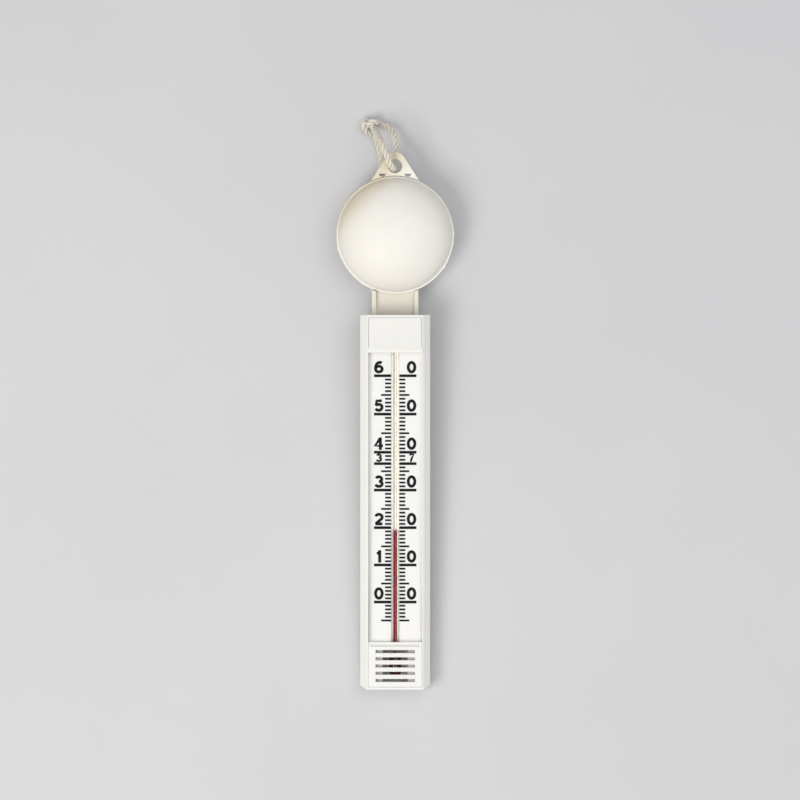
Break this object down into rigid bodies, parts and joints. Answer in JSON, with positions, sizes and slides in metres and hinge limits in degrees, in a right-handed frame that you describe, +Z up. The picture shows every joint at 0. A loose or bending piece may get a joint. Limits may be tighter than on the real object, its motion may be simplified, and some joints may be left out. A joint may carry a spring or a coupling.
{
  "type": "floating pool thermometer",
  "caption": "Floating pool thermometer: round two-shell float with a tether ear, on a long white case with a glass spirit tube over a printed scale and a slotted grille at the bulb.",
  "frame": {"origin": "on the surface that the thermometer lies on, under the middle of its own box (the tether left out)", "axes": "+Y along the length towards the tether ear, +X to the right seen from the front, +Z up out of the front; the case is tipped 3.83 degrees about X, because it rests on the float's back and on its own lower back edge"},
  "size_m": [0.0576, 0.2809, 0.0321],
  "materials": {
    "float_plastic": "satin off-white moulded plastic",
    "neck_plastic": "satin ivory moulded plastic",
    "case_plastic": "semi-gloss white moulded plastic",
    "scale_plastic": "matt white plate printed in black",
    "glass": "clear drawn glass",
    "spirit": "dyed red spirit",
    "soft_rubber": "matt grey rubber",
    "cord": "cream twisted cord",
    "tie_band": "tan elastic band"
  },
  "bodies": {
    "root": {"float_front_shell": "float_plastic", "float_rear_shell": "float_plastic", "neck_channel": "neck_plastic", "casing_front": "case_plastic", "casing_back": "case_plastic", "head_panel": "case_plastic", "bulb_grille": "case_plastic", "scale_plate": "scale_plastic", "glass_tube": "glass", "bulb_spirit": "spirit", "spirit_column": "spirit", "tube_cushion": "soft_rubber", "tether_loop": "cord", "tether_knot": "cord", "tether_tail": "cord", "tether_hank": "cord", "hank_tie": "tie_band", "tether_end": "cord", "tether_end_knot": "cord"},
    "spirit_top": {"spirit_meniscus": "spirit"}
  },
  "joints": [
    {"name": "spirit_level", "type": "slide", "parent": "root", "child": "spirit_top", "axis": [0, 0.9978, 0.0668], "range_m": [-0.0442, 0.0757], "deforming": ["spirit_column"]}
  ]
}
